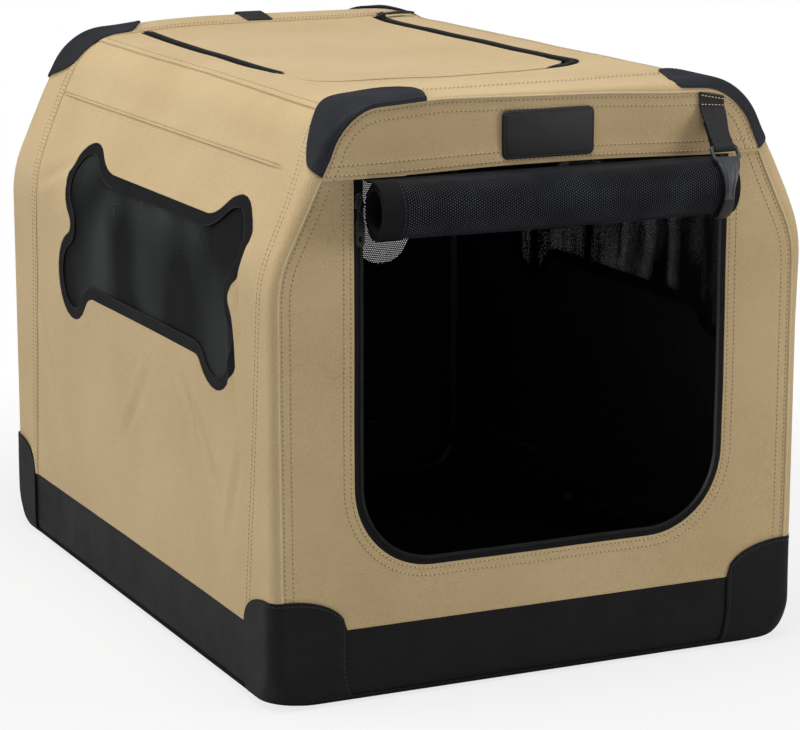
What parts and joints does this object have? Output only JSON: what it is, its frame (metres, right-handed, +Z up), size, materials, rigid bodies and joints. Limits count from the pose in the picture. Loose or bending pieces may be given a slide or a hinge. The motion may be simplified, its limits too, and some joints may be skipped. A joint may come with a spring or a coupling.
{
  "type": "soft pet crate",
  "caption": "Folding soft pet crate: cloth walls on a hinged steel frame, bone-shaped mesh windows, rolled-up mesh front door and zipped roof door.",
  "frame": {"origin": "on the floor under the middle of the four walls, on the underside of the base cloth", "axes": "+Z up, -Y towards the doorway end, +X to the right of someone who faces the doorway"},
  "size_m": [0.5186, 0.7383, 0.5243],
  "materials": {
    "tan_cloth": "woven polyester, matt",
    "dark_cloth": "coated cloth and webbing, near black",
    "dark_netting": "fine black mesh",
    "coated_steel": "black powder coat, satin",
    "dark_plastic": "moulded, fine grain",
    "button_plastic": "moulded"
  },
  "bodies": {
    "crate": {"rear_hoop": "coated_steel", "rear_sleeve_left": "tan_cloth", "rear_sleeve_top": "tan_cloth", "rear_sleeve_right": "tan_cloth", "rear_base": "dark_cloth", "rear_panel": "tan_cloth", "rear_window": "dark_netting", "rear_left_guard": "dark_cloth", "rear_right_guard": "dark_cloth", "rear_left_patch": "dark_cloth", "rear_right_patch": "dark_cloth", "tie_strap": "dark_cloth", "left_panel": "tan_cloth", "right_panel": "tan_cloth", "left_window": "dark_netting", "right_window": "dark_netting", "roof_panel": "tan_cloth", "roof_zipper": "dark_cloth", "floor_sling": "dark_cloth"},
    "rear_upper_left": {"rear_strut_upper_left": "coated_steel", "knuckle_upper_left": "dark_plastic", "knuckle_pin_upper_left": "coated_steel"},
    "rear_upper_right": {"rear_strut_upper_right": "coated_steel", "knuckle_upper_right": "dark_plastic", "knuckle_pin_upper_right": "coated_steel"},
    "rear_lower_left": {"rear_strut_lower_left": "coated_steel", "knuckle_lower_left": "dark_plastic", "knuckle_pin_lower_left": "coated_steel"},
    "rear_lower_right": {"rear_strut_lower_right": "coated_steel", "knuckle_lower_right": "dark_plastic", "knuckle_pin_lower_right": "coated_steel"},
    "front_upper_left": {"front_strut_upper_left": "coated_steel"},
    "front_upper_right": {"front_strut_upper_right": "coated_steel"},
    "front_lower_left": {"front_strut_lower_left": "coated_steel"},
    "front_lower_right": {"front_strut_lower_right": "coated_steel"},
    "front_end": {"front_hoop": "coated_steel", "front_sleeve_left": "tan_cloth", "front_sleeve_top": "tan_cloth", "front_sleeve_right": "tan_cloth", "front_base": "dark_cloth", "front_panel": "tan_cloth", "header_panel": "tan_cloth", "door_zipper": "dark_cloth", "front_left_guard": "dark_cloth", "front_right_guard": "dark_cloth", "front_left_patch": "dark_cloth", "front_right_patch": "dark_cloth", "rolled_door": "dark_netting", "hook_strap": "dark_cloth", "blank_plate": "dark_plastic"},
    "hook": {"roll_hook": "dark_plastic"},
    "door_zip": {"door_slider": "coated_steel"},
    "door_tab": {"door_pull": "dark_plastic"},
    "roof_zip": {"roof_slider": "coated_steel"},
    "roof_tab": {"roof_pull": "dark_plastic"},
    "roof_door": {"roof_flap": "tan_cloth"},
    "button_upper_left": {"lock_button_upper_left": "button_plastic"},
    "button_upper_right": {"lock_button_upper_right": "button_plastic"},
    "button_lower_left": {"lock_button_lower_left": "button_plastic"},
    "button_lower_right": {"lock_button_lower_right": "button_plastic"}
  },
  "joints": [
    {"name": "frame_fold", "type": "hinge", "parent": "crate", "child": "rear_upper_left", "pos_m": [-0.19998, 0.3143, 0.44], "axis": [1, 0, 0], "range_deg": [0, 84], "deforming": ["left_panel", "right_panel", "left_window", "right_window", "roof_panel", "roof_zipper", "roof_flap", "floor_sling"]},
    {"name": "hub_upper_left", "type": "hinge", "parent": "rear_upper_left", "child": "front_upper_left", "pos_m": [-0.19998, 0, 0.45], "axis": [1, 0, 0], "range_deg": [-168, 0]},
    {"name": "front_end_pivot", "type": "hinge", "parent": "front_upper_left", "child": "front_end", "pos_m": [-0.19998, -0.3143, 0.44], "axis": [1, 0, 0], "range_deg": [0, 84]},
    {"name": "rear_pivot_upper_right", "type": "hinge", "parent": "crate", "child": "rear_upper_right", "pos_m": [0.19998, 0.3143, 0.44], "axis": [1, 0, 0], "range_deg": [0, 84]},
    {"name": "hub_upper_right", "type": "hinge", "parent": "rear_upper_right", "child": "front_upper_right", "pos_m": [0.19998, 0, 0.45], "axis": [1, 0, 0], "range_deg": [-168, 0]},
    {"name": "rear_pivot_lower_left", "type": "hinge", "parent": "crate", "child": "rear_lower_left", "pos_m": [-0.236, 0.3143, 0.05], "axis": [1, 0, 0], "range_deg": [-84, 0]},
    {"name": "hub_lower_left", "type": "hinge", "parent": "rear_lower_left", "child": "front_lower_left", "pos_m": [-0.236, 0, 0.04], "axis": [1, 0, 0], "range_deg": [0, 168]},
    {"name": "rear_pivot_lower_right", "type": "hinge", "parent": "crate", "child": "rear_lower_right", "pos_m": [0.236, 0.3143, 0.05], "axis": [1, 0, 0], "range_deg": [-84, 0]},
    {"name": "hub_lower_right", "type": "hinge", "parent": "rear_lower_right", "child": "front_lower_right", "pos_m": [0.236, 0, 0.04], "axis": [1, 0, 0], "range_deg": [0, 168]},
    {"name": "lock_upper_left", "type": "slide", "parent": "rear_upper_left", "child": "button_upper_left", "axis": [-1, 0, 0], "range_m": [0, 0.003], "stiffness_N_per_m": 1500, "springref_m": -0.001},
    {"name": "lock_upper_right", "type": "slide", "parent": "rear_upper_right", "child": "button_upper_right", "axis": [1, 0, 0], "range_m": [0, 0.003], "stiffness_N_per_m": 1500, "springref_m": -0.001},
    {"name": "lock_lower_left", "type": "slide", "parent": "rear_lower_left", "child": "button_lower_left", "axis": [-1, 0, 0], "range_m": [0, 0.003], "stiffness_N_per_m": 1500, "springref_m": -0.001},
    {"name": "lock_lower_right", "type": "slide", "parent": "rear_lower_right", "child": "button_lower_right", "axis": [1, 0, 0], "range_m": [0, 0.003], "stiffness_N_per_m": 1500, "springref_m": -0.001},
    {"name": "hook_swing", "type": "hinge", "parent": "front_end", "child": "hook", "pos_m": [0.161, -0.371, 0.4645], "axis": [1, 0, 0], "range_deg": [-75, 0]},
    {"name": "door_zip_travel", "type": "slide", "parent": "front_end", "child": "door_zip", "axis": [0, 0, -1], "range_m": [0, 0.237]},
    {"name": "door_tab_swing", "type": "hinge", "parent": "door_zip", "child": "door_tab", "pos_m": [-0.1767, -0.3486, 0.4289], "axis": [1, 0, 0], "range_deg": [-110, 0]},
    {"name": "roof_zip_travel", "type": "slide", "parent": "crate", "child": "roof_zip", "axis": [0, -1, 0], "range_m": [0, 0.412]},
    {"name": "roof_tab_swing", "type": "hinge", "parent": "roof_zip", "child": "roof_tab", "pos_m": [0.1361, 0.2695, 0.5233], "axis": [0, 1, 0], "range_deg": [-85, 0]},
    {"name": "roof_door_hinge", "type": "hinge", "parent": "crate", "child": "roof_door", "pos_m": [0, 0.28, 0.52], "axis": [1, 0, 0], "range_deg": [-150, 0]}
  ],
  "couplings": [
    {"joint": "hub_upper_left", "follows": "frame_fold", "ratio": -2},
    {"joint": "front_end_pivot", "follows": "frame_fold", "ratio": 1},
    {"joint": "rear_pivot_upper_right", "follows": "frame_fold", "ratio": 1},
    {"joint": "hub_upper_right", "follows": "frame_fold", "ratio": -2},
    {"joint": "rear_pivot_lower_left", "follows": "frame_fold", "ratio": -1},
    {"joint": "hub_lower_left", "follows": "frame_fold", "ratio": 2},
    {"joint": "rear_pivot_lower_right", "follows": "frame_fold", "ratio": -1},
    {"joint": "hub_lower_right", "follows": "frame_fold", "ratio": 2}
  ]
}
